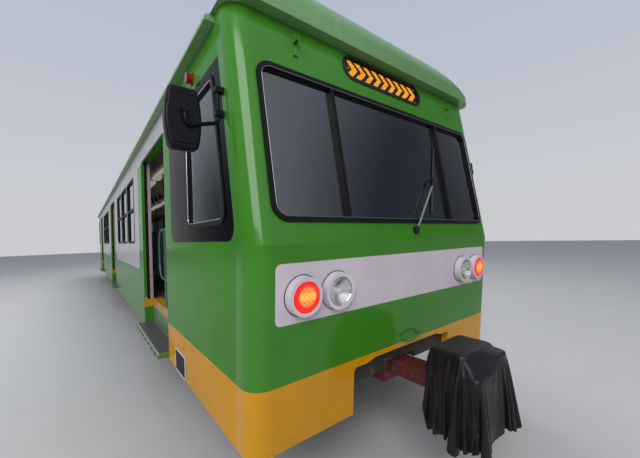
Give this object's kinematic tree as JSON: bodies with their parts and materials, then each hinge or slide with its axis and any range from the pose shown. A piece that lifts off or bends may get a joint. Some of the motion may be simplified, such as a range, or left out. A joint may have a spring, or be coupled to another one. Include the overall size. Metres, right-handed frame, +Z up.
{
  "type": "metro end motor car",
  "caption": "Electric metro end car with a cab, pocket sliding doors, two motor bogies with flanged wheelsets, automatic couplers and a roof current collector.",
  "frame": {"origin": "on the floor below the middle of the car, where the wheel flanges stand", "axes": "+X forward to the cab end, +Y to the car's left side, +Z up"},
  "size_m": [18.5, 3.2198, 3.8499],
  "materials": {
    "body_paint": "satin",
    "roof_paint": "satin",
    "door_paint": "satin",
    "underframe_steel": "matte",
    "equipment_steel": "matte",
    "bogie_steel": "matte",
    "wheel_steel": "satin",
    "coupler_iron": "matte",
    "black_rubber": "matte",
    "window_glass": "polished",
    "lamp_white": "gloss",
    "headlamp_glass": "polished",
    "red_lens": "gloss",
    "display_case": "satin",
    "black_plastic": "satin",
    "step_alloy": "satin",
    "grab_green": "gloss",
    "seat_plastic": "satin",
    "seat_cloth": "matte",
    "lining_board": "satin",
    "desk_plastic": "satin",
    "partition_board": "satin",
    "floor_sheet": "matte",
    "wiper_steel": "satin",
    "cover_cloth": "matte",
    "collector_steel": "satin"
  },
  "bodies": {
    "car": {"side_sills": "underframe_steel", "cross_beams": "underframe_steel", "bolsters": "underframe_steel", "floor": "floor_sheet", "sole_bars": "body_paint", "front_end": "body_paint", "rear_end": "body_paint", "side_skins": "body_paint", "side_posts": "body_paint", "side_linings": "lining_board", "cantrails": "body_paint", "roof": "roof_paint", "roof_ventilators": "roof_paint", "cab_bulkhead": "partition_board", "window_rubbers": "black_rubber", "window_glass": "window_glass", "destination_display": "display_case", "lamp_bezels": "lamp_white", "headlamp_lenses": "headlamp_glass", "red_lamps": "red_lens", "mirrors": "black_plastic", "door_steps": "step_alloy", "doorway_posts": "grab_green", "grab_loops": "grab_green", "seat_cushions": "seat_cloth", "seat_frames": "seat_plastic", "cab_desk": "desk_plastic", "cab_seat": "seat_plastic", "windscreen_wiper": "wiper_steel", "skirt_vents": "black_plastic", "equipment_boxes": "equipment_steel", "front_coupler": "coupler_iron", "rear_coupler": "coupler_iron", "coupler_cover": "cover_cloth", "pantograph_base": "collector_steel"},
    "bogie_front": {"bogie_frame_front": "bogie_steel", "bogie_boxes_front": "bogie_steel", "bogie_motors_front": "bogie_steel"},
    "bogie_rear": {"bogie_frame_rear": "bogie_steel", "bogie_boxes_rear": "bogie_steel", "bogie_motors_rear": "bogie_steel"},
    "wheelset_1": {"wheelset_1": "wheel_steel"},
    "wheelset_2": {"wheelset_2": "wheel_steel"},
    "wheelset_3": {"wheelset_3": "wheel_steel"},
    "wheelset_4": {"wheelset_4": "wheel_steel"},
    "pantograph_head": {"pantograph_head": "collector_steel"},
    "pantograph_lower_arm": {"pantograph_lower_arm": "collector_steel"},
    "pantograph_upper_arm": {"pantograph_upper_arm": "collector_steel"},
    "door_1_right_front": {"door_1_right_front": "door_paint"},
    "door_1_right_rear": {"door_1_right_rear": "door_paint"},
    "door_1_left_front": {"door_1_left_front": "door_paint"},
    "door_1_left_rear": {"door_1_left_rear": "door_paint"},
    "door_2_right_front": {"door_2_right_front": "door_paint"},
    "door_2_right_rear": {"door_2_right_rear": "door_paint"},
    "door_2_left_front": {"door_2_left_front": "door_paint"},
    "door_2_left_rear": {"door_2_left_rear": "door_paint"},
    "door_3_right_front": {"door_3_right_front": "door_paint"},
    "door_3_right_rear": {"door_3_right_rear": "door_paint"},
    "door_3_left_front": {"door_3_left_front": "door_paint"},
    "door_3_left_rear": {"door_3_left_rear": "door_paint"}
  },
  "joints": [
    {"name": "bogie_front_yaw", "type": "hinge", "parent": "car", "child": "bogie_front", "pos_m": [5.9, 0, 0.64], "axis": [0, 0, 1], "range_deg": [-4, 4]},
    {"name": "bogie_rear_yaw", "type": "hinge", "parent": "car", "child": "bogie_rear", "pos_m": [-5.9, 0, 0.64], "axis": [0, 0, 1], "range_deg": [-4, 4]},
    {"name": "wheelset_1_turn", "type": "hinge", "parent": "bogie_front", "child": "wheelset_1", "pos_m": [6.9, 0, 0.398], "axis": [0, 1, 0], "continuous": true},
    {"name": "wheelset_2_turn", "type": "hinge", "parent": "bogie_front", "child": "wheelset_2", "pos_m": [4.9, 0, 0.398], "axis": [0, 1, 0], "continuous": true},
    {"name": "wheelset_3_turn", "type": "hinge", "parent": "bogie_rear", "child": "wheelset_3", "pos_m": [-4.9, 0, 0.398], "axis": [0, 1, 0], "continuous": true},
    {"name": "wheelset_4_turn", "type": "hinge", "parent": "bogie_rear", "child": "wheelset_4", "pos_m": [-6.9, 0, 0.398], "axis": [0, 1, 0], "continuous": true},
    {"name": "door_1_right_front_slide", "type": "slide", "parent": "car", "child": "door_1_right_front", "axis": [-1, 0, 0], "range_m": [0, 0.731]},
    {"name": "door_1_right_rear_slide", "type": "slide", "parent": "car", "child": "door_1_right_rear", "axis": [1, 0, 0], "range_m": [0, 0.731]},
    {"name": "door_1_left_front_slide", "type": "slide", "parent": "car", "child": "door_1_left_front", "axis": [1, 0, 0], "range_m": [0, 0.731]},
    {"name": "door_1_left_rear_slide", "type": "slide", "parent": "car", "child": "door_1_left_rear", "axis": [-1, 0, 0], "range_m": [0, 0.731]},
    {"name": "door_2_right_front_slide", "type": "slide", "parent": "car", "child": "door_2_right_front", "axis": [-1, 0, 0], "range_m": [0, 0.731]},
    {"name": "door_2_right_rear_slide", "type": "slide", "parent": "car", "child": "door_2_right_rear", "axis": [1, 0, 0], "range_m": [0, 0.731]},
    {"name": "door_2_left_front_slide", "type": "slide", "parent": "car", "child": "door_2_left_front", "axis": [1, 0, 0], "range_m": [0, 0.731]},
    {"name": "door_2_left_rear_slide", "type": "slide", "parent": "car", "child": "door_2_left_rear", "axis": [-1, 0, 0], "range_m": [0, 0.731]},
    {"name": "door_3_right_front_slide", "type": "slide", "parent": "car", "child": "door_3_right_front", "axis": [-1, 0, 0], "range_m": [0, 0.731]},
    {"name": "door_3_right_rear_slide", "type": "slide", "parent": "car", "child": "door_3_right_rear", "axis": [1, 0, 0], "range_m": [0, 0.731]},
    {"name": "door_3_left_front_slide", "type": "slide", "parent": "car", "child": "door_3_left_front", "axis": [1, 0, 0], "range_m": [0, 0.731]},
    {"name": "door_3_left_rear_slide", "type": "slide", "parent": "car", "child": "door_3_left_rear", "axis": [-1, 0, 0], "range_m": [0, 0.731]},
    {"name": "pantograph_lift", "type": "hinge", "parent": "car", "child": "pantograph_lower_arm", "pos_m": [-5.7, 0, 3.64], "axis": [0, 1, 0], "range_deg": [0, 48]},
    {"name": "pantograph_knee", "type": "hinge", "parent": "pantograph_lower_arm", "child": "pantograph_upper_arm", "pos_m": [-7.2, 0, 3.7], "axis": [0, -1, 0], "range_deg": [0, 93]},
    {"name": "pantograph_head_tilt", "type": "hinge", "parent": "pantograph_upper_arm", "child": "pantograph_head", "pos_m": [-5.55, 0, 3.79], "axis": [0, 1, 0], "range_deg": [0, 45]}
  ],
  "couplings": [
    {"joint": "door_1_right_rear_slide", "follows": "door_1_right_front_slide", "ratio": 1},
    {"joint": "door_1_left_rear_slide", "follows": "door_1_left_front_slide", "ratio": 1},
    {"joint": "door_2_right_rear_slide", "follows": "door_2_right_front_slide", "ratio": 1},
    {"joint": "door_2_left_rear_slide", "follows": "door_2_left_front_slide", "ratio": 1},
    {"joint": "door_3_right_rear_slide", "follows": "door_3_right_front_slide", "ratio": 1},
    {"joint": "door_3_left_rear_slide", "follows": "door_3_left_front_slide", "ratio": 1},
    {"joint": "pantograph_knee", "follows": "pantograph_lift", "ratio": 1.93},
    {"joint": "pantograph_head_tilt", "follows": "pantograph_lift", "ratio": 0.93}
  ]
}
